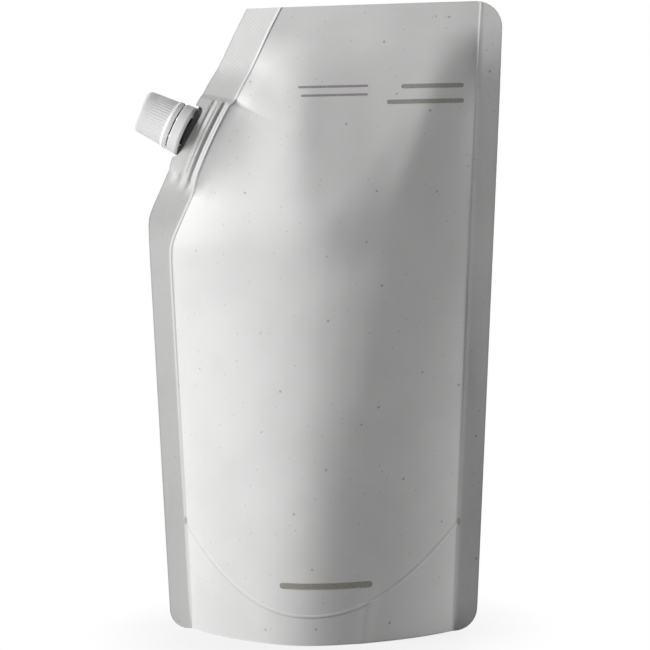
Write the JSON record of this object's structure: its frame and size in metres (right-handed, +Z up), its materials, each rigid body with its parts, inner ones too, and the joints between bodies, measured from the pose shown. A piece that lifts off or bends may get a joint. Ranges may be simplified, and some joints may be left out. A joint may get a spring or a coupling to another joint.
{
  "type": "spouted stand-up refill pouch",
  "caption": "Filled stand-up film pouch with a bottom gusset, flat sealed edges, a corner spout in a slanted seal, a tamper band and a ribbed screw cap.",
  "frame": {"origin": "middle of the base, on the surface that the pouch stands on", "axes": "+Z up, +X along the width away from the spout's side, -Y out of the front film"},
  "size_m": [0.1318, 0.0562, 0.222],
  "materials": {
    "pouch_film": "satin pale grey film with sparse dark flecks",
    "spout_plastic": "moulded, satin",
    "cap_plastic": "moulded, satin white"
  },
  "bodies": {
    "pouch": {"pouch": "pouch_film", "spout": "spout_plastic"},
    "tamper_band": {"tamper_band": "cap_plastic"},
    "cap": {"cap": "cap_plastic"}
  },
  "joints": [
    {"name": "cap_turn", "type": "hinge", "parent": "pouch", "child": "tamper_band", "pos_m": [-0.045, 0, 0.1789], "axis": [-0.8973, 0, 0.4415], "range_deg": [0, 1650]},
    {"name": "cap_rise", "type": "slide", "parent": "tamper_band", "child": "cap", "axis": [-0.8973, 0, 0.4415], "range_m": [0, 0.01375]}
  ],
  "couplings": [
    {"joint": "cap_rise", "follows": "cap_turn", "m_per_rad": 0.00047746}
  ]
}
